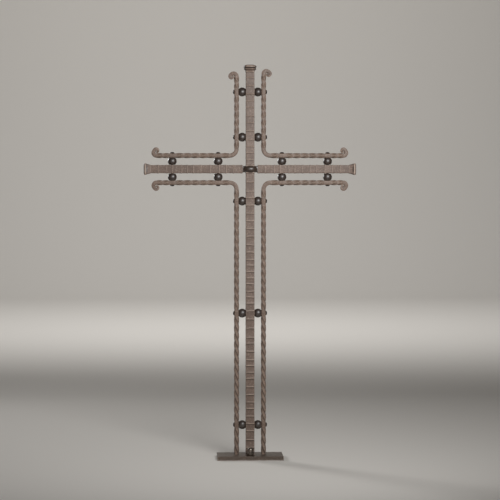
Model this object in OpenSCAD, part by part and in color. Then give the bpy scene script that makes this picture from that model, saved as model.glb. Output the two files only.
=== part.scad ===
// Wrought iron cross: an upright through the punched eye of a crossbar, framed by four
// twisted corner bars that are held off by balls and riveted through, on a foot plate.
// Origin: underside of the foot plate, below the upright. Z up, front towards -Y.

/* [Overall] */
// Height from the underside of the foot plate to the crown of the upright
cross_h = 1096; // [1050:1:1400]
// Height of the crossbar's centre line
arm_z = 806; // [650:1:840]
// Length of the crossbar from end to end
arm_span = 590; // [480:1:760]

/* [Main bars] */
// Side of the square upright and crossbar
bar_w = 25; // [20:0.5:32]
// Bevel along the worn long edges
bar_edge = 2; // [1:0.25:4]
// Length of one hammer mark
mark_l = 20; // [14:1:30]
// Depth of one hammer mark
mark_d = 0.5; // [0.2:0.1:0.9]
// Length of the flat seat that is left for a ball
seat_l = 20; // [18:1:26]

/* [Upset ends] */
// Width of the mushroomed head on the upright
head_w = 37; // [34:0.5:46]
// Height of that head, from its neck to the crown
head_h = 22; // [16:1:28]
// Rise of its domed crown
crown_h = 4; // [2:0.5:6]
// Width of the flared ends of the crossbar
flare_w = 33; // [30:0.5:42]
// Length of each flare
flare_l = 19; // [14:1:28]

/* [Eye of the crossbar] */
// Wall of the round eye in front of the upright's flat faces
eye_wall = 10; // [8:0.25:16]
// Height of the eye
eye_h = 21; // [18:0.5:24]
// Height of the crossbar where it necks down beside the eye
waist_h = 18; // [14:0.5:20]
// Gap between the upright and each side of its hole
eye_fit = 0.1; // [0.05:0.05:0.3]

/* [Corner bars] */
// Side of the twisted square bar
rod_w = 12.4; // [10:0.2:16]
// Width of its flat faces between the worn corners
rod_flat = 6.4; // [5:0.2:9]
// Length of a quarter turn of the twist
twist_l = 22; // [16:1:40]
// Length that stays straight past each end of a ball's flat
seat_over = 0.4; // [0.2:0.1:4]
// Centre line radius of the bend beside the crossing
bend_r = 18.75; // [12:0.25:24]
// Distance from the crown down to the upper left scroll
drop_left = 22; // [14:0.5:32]
// Distance from the crown down to the upper right scroll
drop_right = 15; // [10:0.5:32]
// Distance from the crossbar's end in to the scrolls beside it
arm_drop = 24; // [16:0.5:32]

/* [Scrolls] */
// Centre line radius where a scroll starts
scroll_r = 12.6; // [10:0.2:16]
// Thickness of a scroll's round head
snub_w = 10.4; // [8:0.2:14]
// Thickness of its tip, which tucks in behind the bar
tip_w = 5.4; // [4:0.2:8]
// Angle that a scroll turns through
scroll_turn = 350; // [300:5:355]

/* [Balls and rivets] */
// Diameter of a ball
ball_d = 25; // [21:0.5:28]
// Height of a ball between its flats, which is the gap between the bars
ball_h = 18.8; // [16:0.2:20]
// Diameter of a rivet's shank
rivet_d = 7; // [5:0.5:8]
// Diameter of a rivet's head
rivet_head_d = 12.6; // [11.5:0.2:14]
// Height of a rivet's head
rivet_head_h = 3.6; // [2.5:0.1:4.5]
// Radial gap between a rivet and its holes
rivet_fit = 0.05; // [0.03:0.01:0.1]

/* [Rivet stations] */
// Distance from the crossing to the inner rivets
inner_d = 88.5; // [84:1:100]
// Distance from the crossbar's ends in to the outer rivets
arm_inset = 79.5; // [64:1:95]
// Distance from the crown down to the top rivet
top_inset = 76.5; // [64:0.5:95]
// Height of the lowest rivet above the foot plate
foot_inset = 82.5; // [50:1:140]

/* [Foot] */
// Width of the foot plate
plate_w = 184; // [140:1:260]
// Depth of the foot plate
plate_d = 90; // [84:1:200]
// Thickness of the foot plate
plate_t = 12; // [8:0.5:20]
// Bevel round the top of the plate
plate_edge = 1.5; // [0.5:0.25:3]
// Distance of the fixing hole from the upright's front face
nut_off = 12; // [11.5:0.5:18]
// Diameter of the fixing hole
hole_d = 13; // [11:0.5:14]
// Width of the cap nut across its flats
nut_af = 19; // [17:0.5:21]
// Height of the cap nut
nut_h = 22; // [19:0.5:26]
// Height of its hexagon
nut_hex_h = 10; // [8:0.5:12]
// Diameter of the nut's blind bore
nut_bore_d = 10.4; // [9:0.1:10.5]
// Depth of the nut's blind bore
nut_bore_l = 16; // [12:0.5:16.5]

/* [Hidden] */
$fn = 64;
SIDES = ["left", "right"];
ENDS = ["top", "upper", "lower", "middle", "bottom"];
ARM_ENDS = ["outer", "inner"];

arm_reach = arm_span / 2;
top_reach = cross_h - arm_z;
foot_reach = arm_z - plate_t;
rod_off = bar_w / 2 + ball_h + rod_w / 2;
ball_off = bar_w / 2 + ball_h / 2;
rod_seat_l = sqrt(ball_d * ball_d - ball_h * ball_h) + 2 * seat_over;
foot_low = foot_reach - foot_inset;
arm_outer = arm_reach - arm_inset;
nut_y = -bar_w / 2 - nut_off;
eye_r = bar_w / 2 + eye_wall;

// Stations on the upright, measured up from the crossing, and on one half of the crossbar
UP_STATIONS = [top_reach - top_inset, inner_d, -inner_d, -(inner_d + foot_low) / 2, -foot_low];
ARM_STATIONS = [arm_outer, inner_d];

BAR_COLOR = "#80705F";
DARK_COLOR = "#2B2420";

function mix(a, b, t) = a + (b - a) * t;
function ease(t) = t * t * (3 - 2 * t);

// ---- Hammered outlines of the two main bars ----

// Profile points [along, half width] of the marks between two seats
function marks(from, to, half) =
    let (count = max(1, round(abs(to - from) / mark_l)), step = (to - from) / count)
    [for (i = [0 : count - 1]) each [
        [from + step * i, half],
        [from + step * (i + 0.28), half - mark_d],
        [from + step * (i + 0.72), half - mark_d]]];

// The same over a row of seats, given as their centres in order
function marked_run(start, seats, end, half) =
    let (
        dir = sign(end - start),
        starts = [start, for (s = seats) s + dir * seat_l / 2],
        ends = [for (s = seats) s - dir * seat_l / 2, end])
    [for (i = [0 : len(starts) - 1]) each
        concat(marks(starts[i], ends[i], half), [[ends[i], half]])];

// Upset head: a concave neck, a creased rim and a domed crown, as [up, half width]
function head_profile() =
    let (top = cross_h - crown_h, rim = head_w / 2, half = bar_w / 2, crease = 1.2,
        neck = cross_h - head_h, body = top - neck, lip = neck + body / 2)
    concat(
        [for (i = [0 : 4]) let (t = i / 5)
            [mix(neck, lip, t), mix(half, rim - crease * 2 / 3, 1 - cos(90 * t))]],
        [[lip, rim - crease * 2 / 3],
         [lip + body * 0.1, rim - crease / 3],
         [lip + body * 0.21, rim - crease],
         [lip + body * 0.31, rim]],
        [for (i = [0 : 5]) let (t = i / 6) [mix(top, cross_h, sin(90 * t)), rim * cos(90 * t)]]);

// Flared end of the crossbar, as [out, half width], with a slightly domed end face
function flare_profile() =
    let (neck = arm_reach - flare_l, rim = flare_w / 2, half = bar_w / 2, rise = 2.5, worn = 0.6)
    concat(
        [for (i = [0 : 4]) let (t = i / 5)
            [neck + (flare_l - rise) * t, mix(half, rim, 1 - cos(90 * t))]],
        [[arm_reach - rise - 1, rim], [arm_reach - rise, rim - worn]],
        [for (i = [1 : 3]) let (t = i / 4)
            [mix(arm_reach - rise, arm_reach, sin(90 * t)), (rim - worn) * cos(90 * t)]]);

// Closed outline from a one-sided profile [along, half width]: up one side, down the other
function outline(profile) = concat(
    [for (p = profile) [p[1], p[0]]],
    [for (i = [len(profile) - 1 : -1 : 0]) [-profile[i][1], profile[i][0]]]);

function upright_profile() = concat(
    marked_run(plate_t, [for (i = [4 : -1 : 3]) arm_z + UP_STATIONS[i],
        arm_z - inner_d, arm_z, arm_z + inner_d, arm_z + UP_STATIONS[0]],
        cross_h - head_h, bar_w / 2),
    head_profile(),
    [[cross_h, 0]]);

// Half of the crossbar, with the given half width beside the eye
root_l = 3;
function half_bar_profile(waist) = concat(
    [[0, waist], [eye_r - root_l, waist]],
    marked_run(eye_r, [inner_d, arm_outer], arm_reach - flare_l, bar_w / 2),
    flare_profile(),
    [[arm_reach, 0]]);

// An outline in X and Z, or in Y and Z, made as deep as the bar may be
module slab(points, depth) {
    rotate([90, 0, 0])
        linear_extrude(depth, center = true)
            polygon(points);
}

module bevelled_square(side, bevel) {
    h = side / 2;
    polygon([[h, bevel - h], [h, h - bevel], [h - bevel, h], [bevel - h, h],
        [-h, h - bevel], [-h, bevel - h], [bevel - h, -h], [h - bevel, -h]]);
}

module rivet_hole(at, along) {
    translate(at)
        rotate(along == "x" ? [0, 90, 0] : [0, 0, 0])
            cylinder(r = rivet_d / 2 + rivet_fit, h = 2 * bar_w, center = true);
}

// ---- Main bars ----

module upright() {
    neck = cross_h - head_h;
    color(BAR_COLOR)
        difference() {
            intersection() {
                slab(outline(upright_profile()), 2 * head_w);
                rotate([0, 0, 90])
                    slab(outline(upright_profile()), 2 * head_w);
                union() {
                    translate([0, 0, plate_t])
                        linear_extrude(neck - plate_t)
                            bevelled_square(bar_w, bar_edge);
                    translate([0, 0, neck])
                        linear_extrude(head_h)
                            bevelled_square(head_w, bar_edge);
                }
            }
            for (s = UP_STATIONS)
                rivet_hole([0, 0, arm_z + s], "x");
        }
}

// One half of the crossbar, lying along +X
module half_crossbar() {
    neck = arm_reach - flare_l;
    intersection() {
        rotate([0, 90, 0])
            slab(outline(half_bar_profile(waist_h / 2)), 2 * flare_w);
        rotate([0, 90, 0])
            rotate([0, 0, 90])
                slab(outline(half_bar_profile(bar_w / 2)), 2 * flare_w);
        union() {
            rotate([0, 90, 0])
                linear_extrude(neck)
                    bevelled_square(bar_w, bar_edge);
            translate([neck, 0, 0])
                rotate([0, 90, 0])
                    linear_extrude(flare_l)
                        bevelled_square(flare_w, bar_edge);
        }
    }
}

// Barrel-shaped eye round the upright, with its edges hammered round
module eye_body() {
    squareness = 2.6;
    rotate_extrude()
        polygon([for (i = [0 : 18]) let (a = 10 * i - 90)
            [eye_r * pow(abs(cos(a)), 2 / squareness),
             eye_h / 2 * sign(a) * pow(abs(sin(a)), 2 / squareness)]]);
}

module crossbar() {
    hole = bar_w + 2 * eye_fit;
    color(BAR_COLOR)
        translate([0, 0, arm_z])
            difference() {
                union() {
                    half_crossbar();
                    mirror([1, 0, 0])
                        half_crossbar();
                    eye_body();
                }
                cube([hole, hole, 2 * bar_w], center = true);
                for (side = [-1, 1], s = ARM_STATIONS)
                    rivet_hole([side * s, 0, 0], "z");
            }
}

// ---- Corner bars ----
// A station is [s, w, ns, nw, roll, half]: s runs outward along the main bar, w away from
// it, (ns, nw) points to the outer side of the bar, roll turns its section.

// Share of a scroll's turn, 0 to 1, gives its half thickness and centre line radius
neck_share = 0.34;
snub_gap = 0.3;
tip_curl = 2.5;
function snub_half(f) = f < neck_share
    ? mix(rod_w / 2, snub_w / 2, ease(f / neck_share))
    : mix(snub_w / 2, tip_w / 2, pow((f - neck_share) / (1 - neck_share), tip_curl));
function snub_r(f) =
    snub_half(f) + mix(scroll_r - rod_w / 2, snub_gap, ease(min(1, f / neck_share)));

scroll_steps = 18;
function scroll_height() =
    let (f = 90 / scroll_turn) snub_r(f) + snub_half(f);
function scroll(start, roll) = [for (i = [1 : scroll_steps])
    let (f = i / scroll_steps, a = scroll_turn * f, r = snub_r(f))
    [start + r * sin(a), scroll_r - r * cos(a), sin(a), -cos(a), roll, snub_half(f)]];

// Stops are the ends of the twisted lengths: every second gap is a flat seat
twist_steps = 3;
function quarter_turns(stops, i) =
    i % 2 == 1 ? 0 : max(1, round((stops[i + 1] - stops[i]) / twist_l));
function turns_before(stops, i) = i == 0 ? 0 : turns_before(stops, i - 1) + quarter_turns(stops, i - 1);
function straight(stops, hand) = concat(
    [[stops[0], 0, 0, -1, 0, rod_w / 2]],
    [for (i = [0 : len(stops) - 2])
        let (n = quarter_turns(stops, i), steps = max(1, n * twist_steps))
        for (k = [1 : steps])
            [mix(stops[i], stops[i + 1], k / steps), 0, 0, -1,
             hand * 90 * (turns_before(stops, i) + n * k / steps), rod_w / 2]]);

function seat_stops(seats) =
    [for (s = seats) each [s - rod_seat_l / 2, s + rod_seat_l / 2]];

// A leg that ends in a scroll, and one that ends square on the plate
function scroll_leg(seats, reach, hand) =
    let (
        end = reach - scroll_height(),
        stops = concat([rod_off + bend_r], seat_stops(seats), [end]),
        line = straight(stops, hand),
        roll = line[len(line) - 1][4])
    concat(line, scroll(end, roll));
function foot_leg(seats, reach, hand) =
    straight(concat([rod_off + bend_r], seat_stops(seats), [reach]), hand);

// The quarter bend between the two legs
bend_steps = 4;
function bend() = [for (i = [1 : bend_steps - 1])
    let (a = 90 * i / bend_steps, c = rod_off + bend_r)
    [c - bend_r * sin(a), c - bend_r * cos(a), -sin(a), -cos(a), 0, rod_w / 2]];

// Ring of eight points round [x, z], with (nx, nz) and Y as its two directions
function ring(x, z, nx, nz, roll, half) =
    let (a = half, b = half * rod_flat / rod_w,
        section = [[a, b], [b, a], [-b, a], [-a, b], [-a, -b], [-b, -a], [b, -a], [a, -b]])
    [for (p = section)
        let (n = p[0] * cos(roll) - p[1] * sin(roll), y = p[0] * sin(roll) + p[1] * cos(roll))
        [x + nx * n, y, z + nz * n]];

function arm_ring(s) = ring(s[0], rod_off + s[1], s[2], s[3], s[4], s[5]);
function post_ring(s) = ring(rod_off + s[1], s[0], s[3], s[2], s[4], s[5]);

// Skin over the rings; each quad is split along the edge that leads the twist
module tube_of(rings, hand) {
    n = len(rings[0]);
    last = len(rings) - 1;
    polyhedron(
        points = [for (r = rings) each r],
        faces = concat(
            [[for (i = [0 : n - 1]) i]],
            [for (k = [0 : last - 1], i = [0 : n - 1])
                let (j = (i + 1) % n, a = k * n + i, b = k * n + j, c = a + n, d = b + n)
                each hand > 0 ? [[a, c, b], [b, c, d]] : [[a, c, d], [a, d, b]]],
            [[for (i = [n - 1 : -1 : 0]) last * n + i]]),
        convexity = 8);
}

// A corner bar in the quadrant +X, +Z about the crossing, mirrored into its own one
module corner_bar(side, up, post_seats, post_reach) {
    hand = side * up;
    arm = scroll_leg([inner_d, arm_outer], arm_reach - arm_drop, -hand);
    post = up > 0 ? scroll_leg(post_seats, post_reach, hand) : foot_leg(post_seats, post_reach, hand);
    rings = concat(
        [for (i = [len(arm) - 1 : -1 : 0]) arm_ring(arm[i])],
        [for (b = bend()) ring(b[0], b[1], b[2], b[3], b[4], b[5])],
        [for (s = post) post_ring(s)]);
    color(BAR_COLOR)
        translate([0, 0, arm_z])
            mirror([side < 0 ? 1 : 0, 0, 0])
                mirror([0, 0, up < 0 ? 1 : 0])
                    difference() {
                        tube_of(rings, hand);
                        for (s = ARM_STATIONS)
                            rod_hole([s, 0, rod_off], [0, 0, 0]);
                        for (s = post_seats)
                            rod_hole([rod_off, 0, s], [0, 90, 0]);
                    }
}

module rod_hole(at, turn) {
    translate(at)
        rotate(turn)
            cylinder(r = rivet_d / 2 + rivet_fit, h = 2 * rod_w, center = true);
}

function lower_seats() = [inner_d, (inner_d + foot_low) / 2, foot_low];
module upper_bar(side) {
    drop = side < 0 ? drop_left : drop_right;
    corner_bar(side, 1, [inner_d, UP_STATIONS[0]], top_reach - drop);
}
module lower_bar(side) {
    corner_bar(side, -1, lower_seats(), foot_reach);
}

// ---- Balls and rivets ----

// A ball with two flats and a hole through them, standing on Z
module ball() {
    color(DARK_COLOR)
        difference() {
            intersection() {
                sphere(d = ball_d);
                cube([2 * ball_d, 2 * ball_d, ball_h], center = true);
            }
            cylinder(r = rivet_d / 2 + rivet_fit, h = 2 * ball_d, center = true);
        }
}
module post_ball(side, station) {
    translate([side * ball_off, 0, arm_z + station])
        rotate([0, 90, 0])
            ball();
}
module arm_ball(side, station, up) {
    translate([side * station, 0, arm_z + up * ball_off])
        ball();
}

// A rivet with two domed heads, along Z
module rivet() {
    reach = rod_off + rod_w / 2;
    head_r = rivet_head_d / 2;
    head = [for (i = [0 : 6]) let (a = 15 * i)
        [head_r * pow(cos(a), 0.7), reach + rivet_head_h * sin(a)]];
    half = concat([[rivet_d / 2, reach]], head);
    color(DARK_COLOR)
        rotate_extrude()
            polygon(concat(
                half,
                [for (i = [len(half) - 1 : -1 : 0]) [half[i][0], -half[i][1]]]));
}
module post_rivet(station) {
    translate([0, 0, arm_z + station])
        rotate([0, 90, 0])
            rivet();
}
module arm_rivet(side, station) {
    translate([side * station, 0, arm_z])
        rivet();
}

// ---- Foot ----

module foot_plate() {
    e = plate_edge;
    color(BAR_COLOR)
        difference() {
            intersection() {
                slab([[-plate_w / 2, 0], [plate_w / 2, 0], [plate_w / 2, plate_t - e],
                    [plate_w / 2 - e, plate_t], [e - plate_w / 2, plate_t],
                    [-plate_w / 2, plate_t - e]], 2 * plate_d);
                rotate([0, 0, 90])
                    slab([[-plate_d / 2, 0], [plate_d / 2, 0], [plate_d / 2, plate_t - e],
                        [plate_d / 2 - e, plate_t], [e - plate_d / 2, plate_t],
                        [-plate_d / 2, plate_t - e]], 2 * plate_w);
            }
            translate([0, nut_y, -1])
                cylinder(d = hole_d, h = plate_t + 2);
        }
}

module cap_nut() {
    corner_r = nut_af / sqrt(3);
    flat_r = nut_af / 2;
    dome_r = 0.86 * flat_r;
    dome_z = nut_h - dome_r;
    over = 0.1;
    face_r = flat_r - 0.4;
    bevel = (corner_r - flat_r) * tan(30) + 0.3;
    color(DARK_COLOR)
        translate([0, nut_y, plate_t])
            difference() {
                union() {
                    intersection() {
                        cylinder(r = corner_r, h = nut_hex_h, $fn = 6);
                        rotate_extrude()
                            polygon([[0, 0], [face_r, 0], [corner_r + over, bevel],
                                [corner_r + over, nut_hex_h - bevel],
                                [face_r, nut_hex_h], [0, nut_hex_h]]);
                    }
                    cylinder(r = dome_r, h = dome_z);
                    translate([0, 0, dome_z])
                        sphere(r = dome_r);
                }
                translate([0, 0, -1])
                    cylinder(d = nut_bore_d, h = nut_bore_l + 1);
            }
}

// ---- Nodes ----

upright();
crossbar();
for (side = [0, 1]) {
    hand = 2 * side - 1;
    upper_bar(hand);
    lower_bar(hand);
    for (i = [0 : 4])
        post_ball(hand, UP_STATIONS[i]);
    for (i = [0, 1]) {
        arm_name = str("arm_", SIDES[side], "_", ARM_ENDS[i]);
        arm_ball(hand, ARM_STATIONS[i], 1);
        arm_ball(hand, ARM_STATIONS[i], -1);
        arm_rivet(hand, ARM_STATIONS[i]);
    }
}
for (i = [0 : 4])
    post_rivet(UP_STATIONS[i]);
foot_plate();
cap_nut();
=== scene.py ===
"""Looks of the wrought iron cross: hammered main bars, twisted corner bars with snub
scrolls, balls, rivets, foot plate and cap nut, in a plain pale studio."""
import math
import random

import bpy
import bmesh
from mathutils import Matrix, Vector


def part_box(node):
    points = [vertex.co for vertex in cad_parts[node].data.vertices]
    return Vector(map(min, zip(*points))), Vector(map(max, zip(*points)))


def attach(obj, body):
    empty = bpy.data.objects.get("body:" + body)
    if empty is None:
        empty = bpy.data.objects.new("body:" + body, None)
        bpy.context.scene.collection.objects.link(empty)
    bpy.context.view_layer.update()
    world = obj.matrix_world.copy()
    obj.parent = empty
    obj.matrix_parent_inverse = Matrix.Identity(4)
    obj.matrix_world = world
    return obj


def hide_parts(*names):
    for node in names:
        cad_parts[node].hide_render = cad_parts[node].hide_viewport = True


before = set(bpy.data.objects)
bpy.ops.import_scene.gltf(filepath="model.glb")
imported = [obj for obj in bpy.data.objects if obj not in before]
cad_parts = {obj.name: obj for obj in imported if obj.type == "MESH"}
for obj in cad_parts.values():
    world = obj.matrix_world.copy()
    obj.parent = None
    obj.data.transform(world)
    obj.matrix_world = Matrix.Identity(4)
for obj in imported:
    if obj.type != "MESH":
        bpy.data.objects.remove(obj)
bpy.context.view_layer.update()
rng = random.Random(11)
MM = 0.001


# ---- Places and sizes, in metres, from the frame ----

def middle(node):
    low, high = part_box(node)
    return (low + high) / 2


SIDES = {"left": -1, "right": 1}
POST_ROWS = ["top", "upper", "lower", "middle", "bottom"]
ARM_ROWS = ["outer", "inner"]

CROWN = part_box("upright")[1].z
PLATE_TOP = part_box("foot_plate")[1].z
ARM_Z = middle("crossbar").z
ARM_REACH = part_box("crossbar")[1].x
EYE_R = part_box("crossbar")[1].y
BAR_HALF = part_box("ball_top_right")[0].x       # the balls bear on the upright's side
ROD_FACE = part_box("ball_top_right")[1].x       # and on the inner face of a corner bar
BALL_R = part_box("ball_top_right")[1].y
FLAT_R = math.sqrt(BALL_R ** 2 - (ROD_FACE - BAR_HALF) ** 2 / 4)
ROD_SEAT = 2 * FLAT_R + 0.8 * MM               # flat length under each rivet
RIVET_HEAD_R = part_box("rivet_top")[1].y
RIVET_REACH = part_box("rivet_top")[1].x
POST_STATIONS = [middle("rivet_" + row).z for row in POST_ROWS]
ARM_STATIONS = [middle("rivet_arm_right_" + row).x for row in ARM_ROWS]

ROD_HALF = 6.2 * MM          # half the side of the twisted bar
ROD_OFF = ROD_FACE + ROD_HALF
TWIST_L = 22 * MM            # length of a quarter turn
TWIST_HAND = -1              # left-handed, on all four bars
BEND_R = 18.75 * MM
SCROLL_R = 12.6 * MM         # centre line radius where a scroll starts
SNUB_HALF = 5.2 * MM         # half thickness of its round head
TIP_HALF = 2.7 * MM          # and of its tip, which tucks in behind the bar
TIP_CURL = 2.5               # how late the tip is drawn down: 1 is evenly
NOSE_L = 2 * MM              # length over which its end is rounded
SNUB_GAP = 0.3 * MM          # radius of the hollow that the curl closes on
NECK_SHARE = 0.34            # share of the turn over which the bar closes in
SCROLL_TURN = math.radians(350)
TUCK = 1.14                  # share of that turn that the forged-out tip reaches, behind the bar
POINT_HALF = 1.6 * MM        # half thickness of the very end of the tip
EYE_HALF = 10.5 * MM         # half height of the eye
EYE_BLUNT = 2.6              # exponent of its outline: 2 is a plain ball
WAIST_HALF = 9 * MM          # half height of the crossbar beside the eye
RIVET_R = 3.5 * MM
BORE_R = 6.5 * MM            # fixing hole in the plate
HEX_H = 10 * MM              # hexagon of the cap nut
NUT_BORE_R = 5.2 * MM
NUT_BORE_L = 16 * MM


# ---- Small modelling helpers ----

def alone(obj):
    """Make obj the only selected object, and the active one."""
    bpy.ops.object.select_all(action="DESELECT")
    obj.select_set(True)
    bpy.context.view_layer.objects.active = obj
    return obj


def named(name):
    bpy.context.object.name = name
    return bpy.context.object


def select(obj, kind, test):
    """In edit mode, select the verts, edges or faces that pass the test."""
    bpy.ops.mesh.select_mode(type=kind)
    bpy.ops.mesh.select_all(action="DESELECT")
    mesh = bmesh.from_edit_mesh(obj.data)
    for item in {"VERT": mesh.verts, "EDGE": mesh.edges, "FACE": mesh.faces}[kind]:
        item.select_set(test(item))
    bmesh.update_edit_mesh(obj.data)


def modify(obj, kind, **settings):
    """Add a modifier, set it and apply it."""
    alone(obj)
    mod = obj.modifiers.new(kind.lower(), kind)
    for key, value in settings.items():
        setattr(mod, key, value)
    bpy.ops.object.modifier_apply(modifier=mod.name)


def cut(obj, tool, operation):
    """Boolean of obj with a tool object, which is used up."""
    modify(obj, "BOOLEAN", object=tool, operation=operation, solver="EXACT")
    bpy.data.objects.remove(tool)


def clouds(size):
    """Procedural cloud texture with blobs of that size."""
    texture = bpy.data.textures.new("clouds", "CLOUDS")
    texture.noise_scale = size
    texture.noise_depth = 2
    return texture


def roughen(obj, size, depth, direction="NORMAL", group=""):
    """Uneven surface: only inwards along the normal, or both ways along an axis."""
    modify(obj, "DISPLACE", texture=clouds(size), strength=depth, direction=direction,
           texture_coords="LOCAL", vertex_group=group,
           mid_level=1.0 if direction == "NORMAL" else 0.5)


def weigh(obj, name, weight):
    """Vertex group whose weight is a function of the vertex's place."""
    group = obj.vertex_groups.new(name=name)
    for v in obj.data.vertices:
        group.add([v.index], weight(v.co), "REPLACE")
    return name


def tidy(obj, angle=40):
    """Weld doubles, point the faces outwards and shade smooth."""
    alone(obj)
    bpy.ops.object.mode_set(mode="EDIT")
    bpy.ops.mesh.select_all(action="SELECT")
    bpy.ops.mesh.remove_doubles(threshold=0.01 * MM)
    bpy.ops.mesh.normals_make_consistent(inside=False)
    bpy.ops.object.mode_set(mode="OBJECT")
    bpy.ops.object.shade_smooth_by_angle(angle=math.radians(angle))
    return obj


def ramp(value, low, high):
    """0 below low, 1 above high, smooth between."""
    t = min(1, max(0, (value - low) / (high - low)))
    return t * t * (3 - 2 * t)


def mix(a, b, t):
    return a + (b - a) * t


def extrude_rings(obj, axis, rings):
    """Pull the one selected face along an axis, ring by ring: (place, half, other half)."""
    alone(obj)
    bpy.ops.object.mode_set(mode="EDIT")
    bpy.ops.mesh.select_mode(type="FACE")
    bpy.ops.mesh.select_all(action="SELECT")
    place, half_a, half_b = rings[0]
    for nxt, next_a, next_b in rings[1:]:
        move = Vector((0, 0, 0))
        move[axis] = nxt - place
        centre = Vector((0, 0, ARM_Z)) if axis == 0 else Vector((0, 0, 0))
        centre[axis] = nxt
        bpy.ops.mesh.extrude_region_move(TRANSFORM_OT_translate={"value": move})
        scale = (1, next_a / half_a, next_b / half_b) if axis == 0 else (
            next_a / half_a, next_b / half_b, 1)
        bpy.ops.transform.resize(value=scale, center_override=centre)
        place, half_a, half_b = nxt, next_a, next_b
    bpy.ops.object.mode_set(mode="OBJECT")


# ---- Hammer marks on the main bars ----

MARK_L = 20.5 * MM           # length of one blow's mark
MARK_STEP = 1.2 * MM         # length of the steep end of a mark, under a ridge
MARK_RISE = 3.8 * MM         # length over which a mark falls away from its near ridge
SEAT_HALF = 10 * MM          # flat length each side of a rivet
RING_GAP = 0.35 * MM         # least distance between two rings
EDGE_ROUND = 2 * MM          # width of the rounded long edges


def lengths_between(start, end, stops, half):
    """Lengths from start to end that are left between stops of that half length."""
    edges = [start] + [edge for stop in stops for edge in (stop - half, stop + half)] + [end]
    return list(zip(edges[::2], edges[1::2]))


def hammer_marks(lengths, shallow, deep):
    """Marks as (start, end, depth) that fill each length, all a little different."""
    marks = []
    for start, end in lengths:
        count = max(1, round((end - start) / MARK_L))
        widths = [rng.uniform(0.75, 1.25) for _ in range(count)]
        scale = (end - start) / sum(widths)
        for width in widths:
            marks.append((start, start + width * scale, rng.uniform(shallow, deep) * MM))
            start += width * scale
    return marks


def mark_depth(marks, place):
    """Depth there: a mark falls away from its near ridge and steps up to its far one."""
    for start, end, depth in marks:
        if start < place < end:
            step = min(1, (end - place) / MARK_STEP)
            rise = min(1, (place - start) / MARK_RISE) ** 0.8
            return depth * step * (0.75 * rise + 0.25 * ramp(place - start, 0, end - start))
    return 0


def mark_places(marks):
    """Places along the bar that the shape of the marks needs."""
    places = []
    for start, end, _ in marks:
        places += [start, start + 0.25 * MARK_RISE, start + 0.5 * MARK_RISE, start + MARK_RISE,
                   (start + end) / 2, end - 3.5 * MARK_STEP, end - 2 * MARK_STEP, end - MARK_STEP,
                   end - MARK_STEP / 2, end]
    return places


def ridge_highlight_and_shade(marks, place):
    """Painted light of the marks there: 1, a painted highlight on a ridge, -1, painted shade at the foot of
    its step.
    """
    for start, end, _ in marks:
        if start <= place <= end:
            below = end - place
            ridge = 1 - ramp(min(below, place - start), 0.5 * MM, 1.3 * MM)
            return ridge - ramp(below, 0.6 * MM, 1.3 * MM) * (1 - ramp(below, 2.4 * MM, 5 * MM))
    return 0


def set_painted_light(obj, painted_light):
    """Keep the painted light of the surface as a function of place: painted highlight (1) or painted shade
    (-1).
    """
    attribute = obj.data.attributes.get("painted_light") or obj.data.attributes.new("painted_light", "FLOAT", "POINT")
    attribute.data.foreach_set("value", [painted_light(v.co) for v in obj.data.vertices])


def add_painted_light(obj, more):
    """Add painted highlight to the surface, or painted shade, by a function of place."""
    for v, share in zip(obj.data.vertices, obj.data.attributes["painted_light"].data):
        share.value += more(v.co)


def paint_marks(obj, axis, marks, strength):
    """Painted highlight and painted shade of the marks on the front and back faces of a bar, and painted
    shade on its long edges.
    """
    def painted_light(co):
        across = abs(co.z - ARM_Z) if axis == 0 else abs(co.x)
        on_face = ramp(across, BAR_HALF, BAR_HALF - 2 * MM)
        # painted shade on the rounded long edges
        edge_shade = ramp(across, BAR_HALF - 2.2 * MM, BAR_HALF - 0.6 * MM)
        return strength(co) * ridge_highlight_and_shade(marks, co[axis]) * on_face - 0.5 * edge_shade
    set_painted_light(obj, painted_light)


def hammered_rings(low, high, seats, fitted=()):
    """Deep marks, and rings as (place, shallow half, deep half): the shallow marks leave the
    seats flat, and both leave the place flat where the bar is fitted."""
    deep = hammer_marks(lengths_between(low, high, fitted, SEAT_HALF), 0.85, 1.3)
    flats = sorted(list(seats) + list(fitted))
    shallow = hammer_marks(lengths_between(low, high, flats, SEAT_HALF), 0.15, 0.4)
    kept = [low]
    for place in sorted(mark_places(deep) + mark_places(shallow)):
        if place - kept[-1] > RING_GAP and high - place > RING_GAP:
            kept.append(place)
    kept.append(high)
    return deep, [(p, BAR_HALF - mark_depth(shallow, p), BAR_HALF - mark_depth(deep, p)) for p in kept]


def bevel_long_edges(obj, axis):
    """Round the four long edges of an extruded bar."""
    alone(obj)
    bpy.ops.object.mode_set(mode="EDIT")

    def is_long(edge):
        a, b = edge.verts[0].co, edge.verts[1].co
        d = b - a
        return all(abs(a[k] - (ARM_Z if axis == 0 and k == 2 else 0)) > 5 * MM
                   for k in range(3) if k != axis) and abs(d[axis]) > 0.2 * d.length
    select(obj, "EDGE", is_long)
    bpy.ops.mesh.bevel(offset=EDGE_ROUND, segments=3, affect="EDGES")
    bpy.ops.object.mode_set(mode="OBJECT")


def cut_across(obj, cuts):
    """Divide the faces of a standing bar lengthways by cutting the edges that cross it."""
    alone(obj)
    bpy.ops.object.mode_set(mode="EDIT")

    def crosses(edge):
        d = edge.verts[1].co - edge.verts[0].co
        return abs(d.z) < 0.1 * MM and d.length > BAR_HALF
    select(obj, "EDGE", crosses)
    bpy.ops.mesh.subdivide(number_cuts=cuts)
    bpy.ops.object.mode_set(mode="OBJECT")


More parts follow.
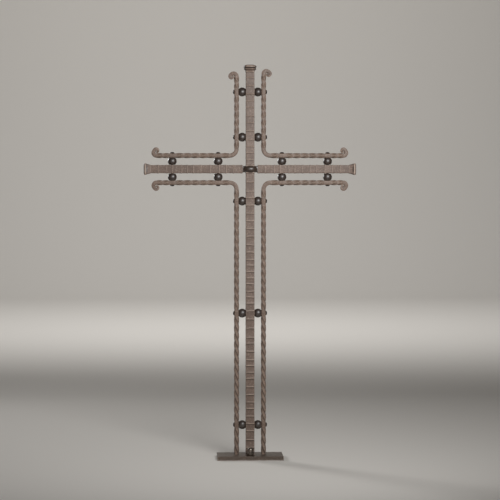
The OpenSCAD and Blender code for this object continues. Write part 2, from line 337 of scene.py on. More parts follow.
def free_of_seats(seats, fitted, low, high, axis):
    """Weight of 1 on the faces that nothing bears on, 0 at the seats and the two ends."""
    def weight(co):
        across = abs(co.z - ARM_Z) if axis == 0 else abs(co.x)
        # A seat only counts on the faces that balls bear on
        bare = 20 * MM * ramp(across, BAR_HALF - 1 * MM, BAR_HALF - 3 * MM)
        near = min([abs(co[axis] - s) + bare for s in seats] + [abs(co[axis] - s) for s in fitted])
        ends = min(co[axis] - low, high - co[axis])
        return ramp(near, 9 * MM, 13 * MM) * ramp(ends, 0, 4 * MM)
    return weight


def weather(obj, axis, seats, fitted, low, high):
    """Wavy ridges, uneven faces and the fine skin of the fire."""
    group = weigh(obj, "free", free_of_seats(seats, fitted, low, high, axis))
    roughen(obj, 16 * MM, 2.2 * MM, "XYZ"[axis], group)
    roughen(obj, 7 * MM, 0.4 * MM, group=group)
    roughen(obj, 2.6 * MM, 0.16 * MM, group=group)


def mark_gloss_and_shade(obj, share):
    """Mark where the surface has a dark waxed gloss, or painted shade in the same black, 0 to 1, as a
    function of place.
    """
    gloss_and_shade = obj.data.attributes.new("gloss_and_shade", "FLOAT", "POINT")
    gloss_and_shade.data.foreach_set("value", [share(v.co) for v in obj.data.vertices])


# ---- Upright ----

HEAD = [  # (below the crown, half width) of the mushroomed head, in mm
    (21.5, 12.5), (19.5, 12.8), (17.8, 13.5), (16.2, 14.5), (14.8, 15.6), (13.4, 16.7), (12.3, 17.5),
    (11.3, 17.9), (10.3, 17.6), (9.4, 16.7), (8.7, 16.1), (8.1, 16.5), (7.3, 17.7), (6.5, 18.4),
    (5.6, 18.4), (4.6, 17.7), (3.7, 16.4), (2.9, 14.7), (2.2, 12.6), (1.6, 10.4)]
CREASE = 8.6                 # mm from the crown down to the crease in the head


def close_crown(obj, above, rise):
    """Dome the flat top face of a standing bar with two insets and a middle point."""
    alone(obj)
    bpy.ops.object.mode_set(mode="EDIT")
    select(obj, "FACE", lambda f: f.calc_center_median().z > above and abs(f.normal.z) > 0.99
           and len(f.verts) > 8)
    bpy.ops.mesh.inset(thickness=3.4 * MM, depth=0.6 * rise)
    bpy.ops.mesh.inset(thickness=3.4 * MM, depth=0.35 * rise)
    bpy.ops.mesh.poke(offset=0.03 * rise)
    bpy.ops.object.mode_set(mode="OBJECT")


def round_head(bar, neck):
    """Draw the corners of the head in, and sag its lip between them."""
    for v in bar.data.vertices:
        if v.co.z > neck:
            wide = max(abs(v.co.x), abs(v.co.y), 1e-6)
            far = math.hypot(v.co.x, v.co.y)
            pull = (wide / max(far, wide)) ** (0.5 * ramp(v.co.z, neck, neck + 6 * MM))
            v.co.x *= pull
            v.co.y *= pull
            below = (CROWN - v.co.z) / MM
            sag = 1 - (min(abs(v.co.x), abs(v.co.y)) / wide) ** 2
            v.co.z -= 2.2 * MM * sag * ramp(below, 4, CREASE) * ramp(17 - below, 0, 6)


def lip_highlight(co):
    """Share of the painted highlight on the lip of the head, above its crease."""
    below = (CROWN - co.z) / MM
    return ramp(below, 3.8, 5) * ramp(CREASE - below, 0.6, 1.8) * ramp(abs(co.x), 15 * MM, 9 * MM)


def upright():
    """Hammered square bar with a mushroomed, domed head."""
    neck = CROWN - HEAD[0][0] * MM
    marks, shaft = hammered_rings(PLATE_TOP, neck, POST_STATIONS, [ARM_Z])
    head = [(CROWN - down * MM, half * MM, half * MM) for down, half in HEAD[1:]]
    bpy.ops.mesh.primitive_plane_add(size=2 * BAR_HALF, location=(0, 0, PLATE_TOP))
    bar = named("hammered_upright")
    bpy.ops.object.transform_apply()
    extrude_rings(bar, 2, shaft + head)
    bevel_long_edges(bar, 2)
    cut_across(bar, 13)
    close_crown(bar, CROWN - 2 * MM, 1.5 * MM)
    round_head(bar, neck)

    # The painted highlight and shade of the marks are stronger towards the foot
    paint_marks(bar, 2, marks, lambda co: mix(1, 0.3, ramp(co.z, 0.15, 1.0)))
    weather(bar, 2, POST_STATIONS, [ARM_Z], PLATE_TOP, CROWN)
    add_painted_light(bar, lip_highlight)

    # Dark waxed gloss over the head, less on its lip, and painted shade in its crease and on its flanks
    def dark_gloss_and_shade(co):
        crease = 1 - ramp(abs(CROWN - CREASE * MM - co.z), 0.8 * MM, 2.4 * MM)
        flank = ramp(abs(co.x), 12 * MM, 16 * MM)
        return ramp(co.z, neck + 1 * MM, neck + 6 * MM) * max(0.3 - 0.3 * lip_highlight(co), crease, flank)
    mark_gloss_and_shade(tidy(bar), dark_gloss_and_shade)
    return bar


# ---- Crossbar ----

FLARE = [  # (in from the end, half height) of a flared end, in mm
    (19, 12.5), (16, 12.9), (13, 13.6), (10, 14.5), (7.4, 15.5), (5.4, 16.2), (3.8, 16.45),
    (2.8, 16.4), (2.0, 15.7), (1.3, 14.2), (0.7, 11.5), (0.25, 8.0), (0.05, 4.0)]


def crossbar_blank():
    """The flared bar without its eye, and its deep marks, which are on its top and bottom."""
    neck = ARM_REACH - FLARE[0][0] * MM
    right_marks, right = hammered_rings(EYE_R, neck, ARM_STATIONS)
    left_marks, left = hammered_rings(EYE_R, neck, ARM_STATIONS)
    left = [(-p, a, b) for p, a, b in reversed(left)]
    marks = right_marks + [(-end, -start, depth) for start, end, depth in left_marks]
    # The end faces lean back a little towards the front and the back
    end = [(ARM_REACH - back * MM, (half - 2.6 * max(0, 1 - back / 7) ** 1.5) * MM, half * MM)
           for back, half in FLARE[1:]]
    start = [(-p, a, b) for p, a, b in reversed(end)]
    waist = [(side * (EYE_R - 2.5 * MM), BAR_HALF, WAIST_HALF) for side in (-1, 1)]
    rings = start + left + waist + right + end
    bpy.ops.mesh.primitive_plane_add(size=2 * rings[0][1], location=(rings[0][0], 0, ARM_Z),
                                     rotation=(0, math.pi / 2, 0))
    bar = named("hammered_crossbar")
    bar.scale.x = rings[0][2] / rings[0][1]
    bpy.ops.object.transform_apply()
    extrude_rings(bar, 0, rings)
    bevel_long_edges(bar, 0)
    return tidy(bar), marks


def blunt_eye():
    """The round eye: a squashed ball with blunt shoulders."""
    bpy.ops.mesh.primitive_uv_sphere_add(segments=96, ring_count=48, radius=1, location=(0, 0, 0))
    eye = named("eye")
    power = 2 / EYE_BLUNT
    for v in eye.data.vertices:
        flat = math.hypot(v.co.x, v.co.y)
        if flat > 1e-6:
            v.co.x *= flat ** (power - 1)
            v.co.y *= flat ** (power - 1)
        v.co.z = math.copysign(abs(v.co.z) ** power, v.co.z)
    eye.scale = (EYE_R, EYE_R, EYE_HALF)
    eye.location = (0, 0, ARM_Z)
    alone(eye)
    bpy.ops.object.transform_apply()
    return eye


def crossbar():
    """Hammered bar with flared ends and the eye, as one skin, with the upright's hole."""
    bar, marks = crossbar_blank()
    eye = blunt_eye()
    alone(bar)
    eye.select_set(True)
    bpy.ops.object.join()
    modify(bar, "REMESH", mode="VOXEL", voxel_size=1.0 * MM)
    soft = weigh(bar, "near_eye", lambda co: 1 - ramp(abs(co.x), 24 * MM, 34 * MM))
    modify(bar, "SMOOTH", factor=0.5, iterations=5, vertex_group=soft)
    modify(bar, "SMOOTH", factor=0.5, iterations=1)
    bpy.ops.mesh.primitive_cube_add(size=2 * BAR_HALF + 0.2 * MM, location=(0, 0, ARM_Z))
    cut(bar, named("hole"), "DIFFERENCE")

    paint_marks(bar, 0, marks, lambda co: 0.35 * ramp(abs(co.x), EYE_R, EYE_R + 4 * MM))
    seats = [side * s for side in (-1, 1) for s in ARM_STATIONS]
    weather(bar, 0, seats, [0], -ARM_REACH, ARM_REACH)
    # A painted highlight: a pale crescent inside the painted dark rim of each end
    add_painted_light(bar, lambda co: 1.2 * (1 - ramp(abs(ARM_REACH - 4.8 * MM - abs(co.x)), 0.7 * MM, 1.7 * MM)))

    # Dark waxed gloss on the eye, and painted shade on the rim of each end and for a dimple near it
    def dark_gloss_and_shade(co):
        round_eye = 1 - ramp(abs(co.x), EYE_R - 3 * MM, EYE_R)
        rim = ramp(abs(co.x), ARM_REACH - 3.4 * MM, ARM_REACH - 2.2 * MM)
        dip = 1 - ramp(abs(ARM_REACH - 9 * MM - abs(co.x)), 1.2 * MM, 3 * MM)
        return max(round_eye, rim, 0.8 * dip * ramp(abs(co.z - ARM_Z), 11 * MM, 5 * MM))
    mark_gloss_and_shade(tidy(bar), dark_gloss_and_shade)
    return bar


# ---- Corner bars ----

def snub_half(f):
    """Half thickness of a scroll at share f of its turn."""
    if f < NECK_SHARE:
        return mix(ROD_HALF, SNUB_HALF, ramp(f, 0, NECK_SHARE))
    if f > 1:
        return mix(TIP_HALF, POINT_HALF, (f - 1) / (TUCK - 1))
    return mix(SNUB_HALF, TIP_HALF, ((f - NECK_SHARE) / (1 - NECK_SHARE)) ** TIP_CURL)


def snub_r(f):
    """Centre line radius of a scroll at share f of its turn."""
    return snub_half(f) + mix(SCROLL_R - ROD_HALF, SNUB_GAP, ramp(f, 0, NECK_SHARE))


SCROLL_RISE = snub_r(math.pi / 2 / SCROLL_TURN) + snub_half(math.pi / 2 / SCROLL_TURN)
SCROLL_STEPS = 60
LOOP_L = 1.6 * MM            # distance between two loops of a corner bar
CURL_L = 26 * MM             # length that a scroll takes up at its end


def scroll_line(reach):
    """Centre line of a scroll as (along, away), from where it leaves the straight."""
    start = reach - SCROLL_RISE
    points = []
    for i in range(SCROLL_STEPS + 1):
        f = TUCK * i / SCROLL_STEPS
        a = SCROLL_TURN * f
        points.append((start + snub_r(f) * math.sin(a), SCROLL_R - snub_r(f) * math.cos(a)))
    return points


def line_length(points):
    """Length along a line of points."""
    return sum(math.dist(a, b) for a, b in zip(points, points[1:]))


SCROLL_L = line_length(scroll_line(1))


def turn_share(length):
    """Share of a scroll's turn that is reached after that length of bar."""
    points = scroll_line(1)
    for i in range(SCROLL_STEPS):
        step = math.dist(points[i], points[i + 1])
        if length < step:
            return TUCK * (i + length / step) / SCROLL_STEPS
        length -= step
    return TUCK


def quarter_turns(length):
    """Whole quarter turns that a twisted length takes."""
    return max(1, round(length / TWIST_L))


def corner_line(arm_reach, post_reach, up):
    """Centre line out from the crossing as (along the arm, along the post), in three parts:
    the arm from its straight out, the bend, and the post from its straight out."""
    corner = ROD_OFF + BEND_R
    arm = [(p, ROD_OFF + w) for p, w in scroll_line(arm_reach)]
    bend = [(corner - BEND_R * math.sin(a), corner - BEND_R * math.cos(a))
            for a in (math.radians(3 * k) for k in range(31))]
    post = [(ROD_OFF + w, q) for q, w in scroll_line(post_reach)] if up > 0 else [(ROD_OFF, post_reach)]
    return arm, bend, post


def square_blank(name, total):
    """A straight square bar of that length, with rounded long edges and plenty of loops."""
    bpy.ops.mesh.primitive_cube_add(size=1, location=(total / 2, 0, 0),
                                    scale=(total, 2 * ROD_HALF, 2 * ROD_HALF))
    bar = named(name)
    bpy.ops.object.transform_apply()
    bpy.ops.object.mode_set(mode="EDIT")
    select(bar, "EDGE", lambda e: abs(e.verts[0].co.x - e.verts[1].co.x) > MM)
    bpy.ops.mesh.bevel(offset=3.2 * MM, segments=4, affect="EDGES")
    cuts = round(total / LOOP_L / 90)
    for count in (89, cuts - 1):
        select(bar, "EDGE", lambda e: abs(e.verts[0].co.x - e.verts[1].co.x) > 0.01 * MM)
        bpy.ops.mesh.subdivide(number_cuts=count)
    select(bar, "EDGE", lambda e: e.calc_length() > 4 * MM and e.verts[0].co.x == e.verts[1].co.x)
    bpy.ops.mesh.subdivide(number_cuts=2)
    bpy.ops.object.mode_set(mode="OBJECT")

    # Painted sheen on the flats and painted shade on the corners of the twisted bar
    def twist_sheen_and_shade(co):
        low_side, high_side = sorted((abs(co.y), abs(co.z)))
        return mix(0.4, -0.8, ramp(low_side / high_side, 0.35, 0.85))
    set_painted_light(bar, twist_sheen_and_shade)
    return bar


def twist(bar, total, runs):
    """Twist each run of the straight bar by whole quarter turns."""
    pivot = bpy.data.objects.new("pivot", None)
    bpy.context.scene.collection.objects.link(pivot)
    for start, end in runs:
        pivot.location = (start, 0, 0)
        bpy.context.view_layer.update()
        modify(bar, "SIMPLE_DEFORM", deform_method="TWIST", deform_axis="X", origin=pivot,
               limits=(start / total, end / total),
               angle=TWIST_HAND * math.pi / 2 * quarter_turns(end - start))
    bpy.data.objects.remove(pivot)


def draw_out_ends(bar, total, up):
    """Upset and taper the lengths that become scrolls, and soften their end faces."""
    for v in bar.data.vertices:
        for inward in ([v.co.x] if up < 0 else [v.co.x, total - v.co.x]):
            if inward < SCROLL_L:
                nose = max(0, 1 - inward / NOSE_L)
                grow = snub_half(turn_share(SCROLL_L - inward)) / ROD_HALF * (1 - 0.4 * nose ** 2.5)
                v.co.y *= grow
                v.co.z *= grow
    alone(bar)
    bpy.ops.object.mode_set(mode="EDIT")
    select(bar, "FACE", lambda f: abs(f.normal.x) > 0.9 and (up > 0 or f.calc_center_median().x < MM))
    bpy.ops.mesh.region_to_loop()
    bpy.ops.mesh.bevel(offset=1.2 * MM, segments=3, affect="EDGES")
    bpy.ops.object.mode_set(mode="OBJECT")


def bend_along(bar, line, side, up):
    """Bend the straight bar along its centre line, in its own quadrant."""
    curve = bpy.data.curves.new("centre_line", "CURVE")
    curve.dimensions = "3D"
    curve.twist_mode = "MINIMUM"
    spline = curve.splines.new("POLY")
    spline.points.add(len(line) - 1)
    for point, (p, q) in zip(spline.points, line):
        point.co = (side * p, 0, ARM_Z + up * q, 1)
    guide = bpy.data.objects.new("centre_line", curve)
    bpy.context.scene.collection.objects.link(guide)
    bpy.context.view_layer.update()
    modify(bar, "CURVE", object=guide, deform_axis="POS_X")
    bpy.data.objects.remove(guide)


def corner_bar(name, side, up):
    """One corner bar: a straight bar, twisted between its seats, then bent in its quadrant."""
    low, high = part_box("corner_bar_" + name)
    arm_reach = max(abs(low.x), abs(high.x))
    post_reach = high.z - ARM_Z if up > 0 else ARM_Z - PLATE_TOP
    arm_seats = sorted(ARM_STATIONS)
    post_seats = sorted(up * (z - ARM_Z) for z in POST_STATIONS if up * (z - ARM_Z) > 0)
    arm, bend, post = corner_line(arm_reach, post_reach, up)
    line = list(reversed(arm)) + bend + post
    total = line_length(line)
    corner = bend[0][0]
    bend_at = SCROLL_L + arm[0][0] - corner
    post_at = bend_at + line_length(bend)

    bar = square_blank(name + "_corner_bar", total)
    runs = lengths_between(SCROLL_L, bend_at, [SCROLL_L + arm[0][0] - s for s in reversed(arm_seats)],
                           ROD_SEAT / 2)
    runs += lengths_between(post_at, post_at + post[0][1] - corner,
                            [post_at + s - corner for s in post_seats], ROD_SEAT / 2)
    twist(bar, total, runs)
    draw_out_ends(bar, total, up)
    bend_along(bar, line, side, up)

    seats = [Vector((side * s, 0, ARM_Z + up * ROD_OFF)) for s in arm_seats]
    seats += [Vector((side * ROD_OFF, 0, ARM_Z + up * s)) for s in post_seats]
    group = weigh(bar, "free", lambda co: ramp(min((co - p).length for p in seats), 8 * MM, 12 * MM))
    # The painted sheen and shade of the twist are stronger towards the foot, and faint on the seats and in
    # the curls
    for v, share in zip(bar.data.vertices, bar.data.attributes["painted_light"].data):
        curl = abs(v.co.x) > arm_reach - CURL_L or v.co.z > high.z - CURL_L
        share.value *= (mix(1.3, 0.25, ramp(v.co.z, 0.2, 0.9)) * (0.3 if curl else 1)
                        * ramp(min((v.co - p).length for p in seats), 8 * MM, 14 * MM))
    roughen(bar, 7 * MM, 0.5 * MM, group=group)
    roughen(bar, 2.4 * MM, 0.18 * MM, group=group)
    return tidy(bar)


# ---- Balls, rivets, foot ----

def turned(name, rings, sides, x=0, y=0):
    """A solid turned on an upright axis at x, y, from its rings as (height, radius)."""
    bpy.ops.mesh.primitive_circle_add(vertices=sides, radius=rings[0][1], fill_type="NGON",
                                      location=(0, 0, rings[0][0]))
    piece = named(name)
    bpy.ops.object.transform_apply()
    extrude_rings(piece, 2, [(z, r, r) for z, r in rings])
    piece.location = (x, y, 0)
    alone(piece)
    bpy.ops.object.transform_apply()
    return piece


def copy_to(master, name, place, turn):
    """A copy with its own mesh, turned and set in place for good."""
    piece = bpy.data.objects.new(name, master.data.copy())
    bpy.context.scene.collection.objects.link(piece)
    piece.data.transform(Matrix.Translation(place) @ turn)
    return piece


def master_ball():
    """A ball with two flats and a drilled hole, along Z at the origin."""
    bpy.ops.mesh.primitive_uv_sphere_add(segments=64, ring_count=40, radius=BALL_R)
    ball = named("ball")
    flat = (ROD_FACE - BAR_HALF) / 2
    bpy.ops.object.mode_set(mode="EDIT")
    for up in (1, -1):
        bpy.ops.mesh.select_all(action="SELECT")
        bpy.ops.mesh.bisect(plane_co=(0, 0, up * flat), plane_no=(0, 0, up), use_fill=True, clear_outer=True)
        bpy.ops.mesh.region_to_loop()
        bpy.ops.mesh.bevel(offset=0.5 * MM, segments=3, affect="EDGES")
    bpy.ops.object.mode_set(mode="OBJECT")
    bpy.ops.mesh.primitive_cylinder_add(vertices=32, radius=RIVET_R + 0.05 * MM, depth=4 * BALL_R)
    cut(ball, named("drill"), "DIFFERENCE")
    return tidy(ball)


def master_rivet():
    """A closed rivet along Z: plain shank, domed heads at both ends."""
    dome = RIVET_REACH - ROD_OFF - ROD_HALF
    half = [(ROD_OFF + ROD_HALF, RIVET_R), (ROD_OFF + ROD_HALF, RIVET_HEAD_R - 0.3 * MM),
            (ROD_OFF + ROD_HALF + 0.5 * MM, RIVET_HEAD_R)]
    half += [(ROD_OFF + ROD_HALF + dome * math.sin(a), RIVET_HEAD_R * math.cos(a) ** 0.75)
             for a in (math.radians(k) for k in (22, 36, 50, 62, 73, 82, 88))]
    return tidy(turned("rivet", [(-z, r) for z, r in reversed(half)] + half, 40), 35)


def foot_plate():
    """Plate with eased upper edges, uneven from the hammer, and its fixing hole."""
    low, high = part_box("foot_plate")
    size = high - low
    bpy.ops.mesh.primitive_cube_add(size=1, location=(low + high) / 2, scale=size)
    plate = named("forged_foot_plate")
    bpy.ops.object.transform_apply()
    bpy.ops.object.mode_set(mode="EDIT")
    select(plate, "EDGE", lambda e: e.verts[0].co.z + e.verts[1].co.z > 2 * PLATE_TOP - MM)
    bpy.ops.mesh.bevel(offset=1.5 * MM, segments=3, affect="EDGES")
    bpy.ops.object.mode_set(mode="OBJECT")
    # Loops close enough together for the uneven edges
    for axis, step in ((0, 2.5 * MM), (1, 2.5 * MM), (2, 2.4 * MM)):
        count = round(size[axis] / step)
        bpy.ops.object.mode_set(mode="EDIT")
        for k in range(1, count):
            place, normal = low.copy(), Vector((0, 0, 0))
            place[axis] += size[axis] * k / count
            normal[axis] = 1
            bpy.ops.mesh.select_all(action="SELECT")
            bpy.ops.mesh.bisect(plane_co=place, plane_no=normal)
        bpy.ops.object.mode_set(mode="OBJECT")
    nut = middle("cap_nut")
    bpy.ops.mesh.primitive_cylinder_add(vertices=48, radius=BORE_R, depth=4 * size.z,
                                        location=(nut.x, nut.y, 0))
    cut(plate, named("drill"), "DIFFERENCE")

    def edge_share(co):
        out = min(co.x - low.x, high.x - co.x, co.y - low.y, high.y - co.y)
        return (1 - 0.85 * ramp(out, 1 * MM, 7 * MM)) * ramp(co.z, low.z, low.z + 2 * MM)
    group = weigh(plate, "edges", edge_share)
    roughen(plate, 11 * MM, 1.6 * MM, group=group)
    roughen(plate, 3 * MM, 0.4 * MM, group=group)
    return tidy(plate)


def cap_nut():
    """Hexagon with turned-off corners, a dome on it, and a blind bore from below."""
    low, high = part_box("cap_nut")
    centre = (low + high) / 2
    flat_r = min(high.x - low.x, high.y - low.y) / 2
    corner_r = flat_r / math.cos(math.pi / 6)
    dome_r = 0.86 * flat_r
    dome_z = high.z - dome_r
    corner_turn = 30 if high.y - low.y > high.x - low.x else 0

    bpy.ops.mesh.primitive_cylinder_add(vertices=6, radius=corner_r, depth=HEX_H,
                                        location=(centre.x, centre.y, low.z + HEX_H / 2),
                                        rotation=(0, 0, math.radians(corner_turn)))
    nut = named("domed_cap_nut")
    bpy.ops.object.transform_apply()
    full, eased = corner_r + 0.15 * MM, corner_r + 0.15 * MM - 1.4 * MM
    rings = [(low.z, eased), (low.z + 0.9 * MM, full), (low.z + HEX_H - 0.9 * MM, full),
             (low.z + HEX_H, eased)]
    cut(nut, turned("corner_cut", rings, 64, centre.x, centre.y), "INTERSECT")

    rings = [(low.z + HEX_H / 2, dome_r), (dome_z, dome_r)]
    rings += [(dome_z + dome_r * math.sin(a), dome_r * math.cos(a)) for a in
              (math.radians(k) for k in range(8, 88, 8))]
    rings[1:1] = [(low.z + HEX_H, dome_r), (low.z + HEX_H + 0.4 * MM, dome_r - 0.25 * MM)]
    cut(nut, turned("dome", rings, 64, centre.x, centre.y), "UNION")
    bpy.ops.mesh.primitive_cylinder_add(vertices=48, radius=NUT_BORE_R, depth=2 * NUT_BORE_L,
                                        location=(centre.x, centre.y, low.z))
    cut(nut, named("drill"), "DIFFERENCE")
    modify(nut, "BEVEL", width=0.25 * MM, segments=2, limit_method="ANGLE", angle_limit=math.radians(25))
    return tidy(nut, 35)


# ---- Finishes ----

def colour(hexadecimal):
    """Linear colour from an sRGB hex code."""
    parts = [int(hexadecimal[k:k + 2], 16) / 255 for k in (1, 3, 5)]
    return [p / 12.92 if p <= 0.04045 else ((p + 0.055) / 1.055) ** 2.4 for p in parts] + [1]


def add_node(tree, kind, output=0, settings=None, **inputs):
    """Add a shader node and give one of its outputs. An input is called by its name, or i3 for
    its input number 3; it is linked if its value is a socket, and else set."""
    node = tree.nodes.new("ShaderNode" + kind)
    for key, value in (settings or {}).items():
        setattr(node, key, value)
    for key, value in inputs.items():
        socket = node.inputs[int(key[1:]) if key[0] == "i" and key[1:].isdigit() else key]
        if isinstance(value, bpy.types.NodeSocket):
            tree.links.new(value, socket)
        else:
            socket.default_value = value
    return node.outputs[output]


WAX_BLACK_AND_SHADE = "#2A2019"        # waxed black of the eye and the upset ends, also the painted shade on the head and the ends


def forged_iron(name, base, dark_scale_and_shade, worn_and_highlight, rough, shine, skin_mm, skin_depth, wear, wax=0.0, metallic=0.0):
    """Iron from the fire: mottled scale, darker hollows, edges rubbed paler, a fine skin, wax, and the
    painted highlight and painted shade that a piece carries.
    The skin has grains of skin_mm and is skin_depth deep, both in millimetres."""
    material = bpy.data.materials.new(name)
    material.use_nodes = True
    tree = material.node_tree
    shader = tree.nodes["Principled BSDF"]
    place = add_node(tree, "TexCoord", "Object")
    patches, flecks, grains = (
        add_node(tree, "TexNoise", "Fac", Vector=place, Scale=1000 / size_mm, Detail=detail,
                 Roughness=harshness)
        for size_mm, detail, harshness in ((26, 4, 0.5), (3.2, 3, 0.6), (skin_mm, 4, 0.65)))
    edge = add_node(tree, "NewGeometry", "Pointiness")
    painted_light, gloss_and_shade = (add_node(tree, "Attribute", "Fac", {"attribute_name": own}) for own in ("painted_light", "gloss_and_shade"))
    rubbed = add_node(tree, "MapRange", i0=flecks, i1=0.3, i2=0.6, i3=0.45 * wear, i4=wear)

    # Layers from the base up: what drives one, where it starts, where it is full, how strong, its colour
    skin = colour(base)
    for driver, start, full, strength, tint in (
            (patches, 0.38, 0.62, 0.3, dark_scale_and_shade),        # thicker scale
            (flecks, 0.5, 0.72, 0.35, worn_and_highlight),         # scale flaked off
            (edge, 0.485, 0.44, 0.8, dark_scale_and_shade),          # hollows
            (edge, 0.51, 0.57, rubbed, worn_and_highlight),        # rubbed edges
            (painted_light, 0, -1, 0.75, dark_scale_and_shade),               # painted shade under the ridges, on long edges and on twisted corners
            (painted_light, 0, 1, 0.9, worn_and_highlight),                 # painted highlight on the ridges, twisted flats, head lip and end crescents
            (gloss_and_shade, 0, 1, 0.9, WAX_BLACK_AND_SHADE)):        # waxed black, and painted shade in the same black
        share = add_node(tree, "MapRange", i0=driver, i1=start, i2=full, i3=0, i4=strength)
        skin = add_node(tree, "Mix", 2, {"data_type": "RGBA"}, i0=share, i6=skin, i7=colour(tint))
    tree.links.new(skin, shader.inputs["Base Color"])

    uneven = add_node(tree, "MapRange", i0=grains, i1=0.3, i2=0.7, i3=rough - 0.07, i4=rough + 0.09)
    smoother = add_node(tree, "Math", 0, {"operation": "MULTIPLY_ADD"}, i0=gloss_and_shade, i1=-0.14, i2=uneven)
    tree.links.new(smoother, shader.inputs["Roughness"])
    shader.inputs["Specular IOR Level"].default_value = shine
    shader.inputs["Metallic"].default_value = metallic
    shader.inputs["Coat Weight"].default_value = wax
    if not wax:
        waxed = add_node(tree, "Math", 0, {"operation": "MULTIPLY"}, i0=gloss_and_shade, i1=0.8)
        tree.links.new(waxed, shader.inputs["Coat Weight"])
    shader.inputs["Coat Roughness"].default_value = 0.38
    bump = add_node(tree, "Bump", Strength=0.6, Distance=skin_depth * MM, Height=grains)
    pits = add_node(tree, "Bump", Strength=0.5, Distance=2.5 * skin_depth * MM, Height=flecks, Normal=bump)
    tree.links.new(pits, shader.inputs["Normal"])
    return material


def dress(obj, node, material):
    """Give a finished piece its finish and its place in the frame."""
    obj.data.materials.clear()
    obj.data.materials.append(material)
    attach(obj, "root")
    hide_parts(node)


# ---- The cross ----

# Waxed grey-brown iron of the hammered bars: a low sheen, and the painted highlight and shade of the marks
bar_iron = forged_iron("waxed_hammered_iron", base="#6F5D52", dark_scale_and_shade="#382C26", worn_and_highlight="#B7A394",
                       rough=0.48, shine=0.35, skin_mm=0.9, skin_depth=0.10, wear=0.9)
# The same iron, a little smoother and darker, on the twisted bars
rod_iron = forged_iron("waxed_twisted_iron", base="#66554B", dark_scale_and_shade="#30251E", worn_and_highlight="#AD9889",
                       rough=0.46, shine=0.3, skin_mm=0.8, skin_depth=0.08, wear=1.0)
# Near-black polished and waxed iron of the balls: one soft highlight each
ball_black = forged_iron("black_polished_iron", base="#2C2019", dark_scale_and_shade="#180F0B", worn_and_highlight="#52433A",
                         rough=0.46, shine=0.8, skin_mm=0.7, skin_depth=0.03, wear=0.2, wax=0.7)
# Near-black scale of the rivet heads, dull from the hammer
rivet_black = forged_iron("black_rivet_iron", base="#201611", dark_scale_and_shade="#140D09", worn_and_highlight="#4A3C33",
                          rough=0.44, shine=0.4, skin_mm=0.7, skin_depth=0.06, wear=0.3)
# Brown-black scaled iron of the foot plate
plate_scale = forged_iron("scaled_plate_iron", base="#54463B", dark_scale_and_shade="#352B22", worn_and_highlight="#8A7868",
                          rough=0.42, shine=0.6, skin_mm=1.1, skin_depth=0.12, wear=0.8)
# Bright plating of the cap nut, gone smoky: dark where it shows the room, sharp where it shows a lamp
nut_plating = forged_iron("smoky_plated_steel", base="#857B72", dark_scale_and_shade="#4A423B", worn_and_highlight="#A89E94",
                          rough=0.3, shine=0.5, skin_mm=0.5, skin_depth=0.02, wear=0.4, metallic=1.0)

dress(upright(), "upright", bar_iron)
dress(crossbar(), "crossbar", bar_iron)
for level, up in (("upper", 1), ("lower", -1)):
    for name, side in SIDES.items():
        dress(corner_bar(level + "_" + name, side, up), "corner_bar_" + level + "_" + name,
              rod_iron)

ball = master_ball()
rivet = master_rivet()
ball_off = (BAR_HALF + ROD_FACE) / 2
lay_down = Matrix.Rotation(math.pi / 2, 4, "Y")


def spun():
    """A random turn about a piece's own axis, so no two show the same face."""
    return Matrix.Rotation(rng.uniform(0, 2 * math.pi), 4, "Z")


for row, z in zip(POST_ROWS, POST_STATIONS):
    for name, side in SIDES.items():
        piece = copy_to(ball, "spacer_ball_" + row + "_" + name, (side * ball_off, 0, z), lay_down @ spun())
        dress(piece, "ball_" + row + "_" + name, ball_black)
    piece = copy_to(rivet, "through_rivet_" + row, (0, 0, z), lay_down @ spun())
    dress(piece, "rivet_" + row, rivet_black)
for name, side in SIDES.items():
    for row, x in zip(ARM_ROWS, ARM_STATIONS):
        node = "arm_" + name + "_" + row
        for where, up in (("over", 1), ("under", -1)):
            piece = copy_to(ball, "spacer_ball_" + node + "_" + where,
                            (side * x, 0, ARM_Z + up * ball_off), spun())
            dress(piece, "ball_" + node + "_" + where, ball_black)
        piece = copy_to(rivet, "through_rivet_" + node, (side * x, 0, ARM_Z), spun())
        dress(piece, "rivet_" + node, rivet_black)
for master in (ball, rivet):
    bpy.data.objects.remove(master)
dress(foot_plate(), "foot_plate", plate_scale)
dress(cap_nut(), "cap_nut", nut_plating)


# ---- Studio ----

FLOOR_HALF = 9               # half the side of the floor, in metres
WALL_H = 6
SWEEP_R = 2.0                # radius where the floor turns up into the wall


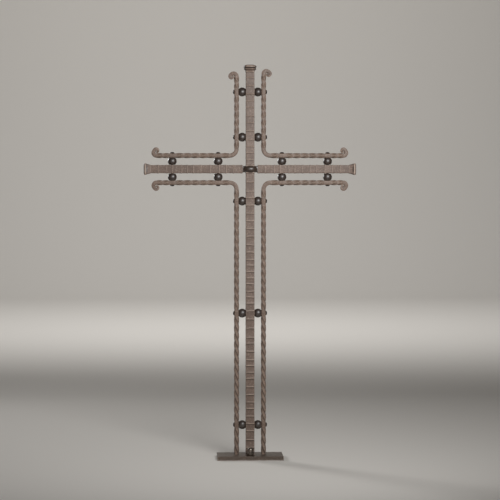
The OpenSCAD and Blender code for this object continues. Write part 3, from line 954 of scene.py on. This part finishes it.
def studio():
    """Pale floor that sweeps up into a pale backdrop."""
    bpy.ops.mesh.primitive_plane_add(size=2 * FLOOR_HALF, location=(0, 0, 0))
    sweep = named("studio_sweep")
    bpy.ops.object.mode_set(mode="EDIT")
    select(sweep, "EDGE", lambda e: min(v.co.y for v in e.verts) > FLOOR_HALF - 1)
    bpy.ops.mesh.extrude_region_move(TRANSFORM_OT_translate={"value": (0, 0, WALL_H)})
    select(sweep, "EDGE", lambda e: all(v.co.y > FLOOR_HALF - 1 and v.co.z < 1 for v in e.verts))
    bpy.ops.mesh.bevel(offset=SWEEP_R, segments=16, affect="EDGES")
    bpy.ops.object.mode_set(mode="OBJECT")
    bpy.ops.object.shade_smooth()
    # Matt warm-white paper
    paper = bpy.data.materials.new("matt_backdrop_paper")
    paper.use_nodes = True
    shader = paper.node_tree.nodes["Principled BSDF"]
    shader.inputs["Base Color"].default_value = colour("#E4E0DA")
    shader.inputs["Roughness"].default_value = 0.9
    shader.inputs["Specular IOR Level"].default_value = 0.1
    sweep.data.materials.append(paper)


def look_at(obj, place, aim):
    """Put a lamp or the camera in its place and turn it to its aim."""
    obj.location = place
    obj.rotation_euler = (Vector(aim) - Vector(place)).to_track_quat("-Z", "Y").to_euler()


def area_light(name, place, aim, size, power, spread):
    """A round soft lamp; its light stays within the spread, in degrees."""
    light = bpy.data.lights.new(name, "AREA")
    light.shape = "DISK"
    light.size = size
    light.energy = power
    light.spread = math.radians(spread)
    lamp = bpy.data.objects.new(name, light)
    bpy.context.scene.collection.objects.link(lamp)
    look_at(lamp, place, aim)


studio()
area_light("key", place=(0.42, -1.4, 1.2), aim=(0, 0, 0.7), size=0.75, power=6.8, spread=100)
area_light("front_soft", place=(-0.3, -2.6, 0.95), aim=(0, 0, 0.75), size=2.0, power=1.2, spread=60)
area_light("back_soft", place=(-2.3, 2.6, 1.7), aim=(0, 0, 0.6), size=1.0, power=8, spread=70)
area_light("backdrop_wash", place=(0, 3.4, 3.6), aim=(0, 6.9, 1.2), size=2.5, power=115, spread=165)

world = bpy.data.worlds.new("studio_air")
world.use_nodes = True
world.node_tree.nodes["Background"].inputs["Color"].default_value = colour("#EDEAE6")
world.node_tree.nodes["Background"].inputs["Strength"].default_value = 0.12
bpy.context.scene.world = world

lens = bpy.data.cameras.new("camera")
lens.lens = 135
lens.sensor_width = 36
camera = bpy.data.objects.new("camera", lens)
bpy.context.scene.collection.objects.link(camera)
look_at(camera, place=(-0.239, -5.2, 0.779), aim=(0, 0, 0.5816))
bpy.context.scene.camera = camera
bpy.context.scene.view_settings.view_transform = "Standard"
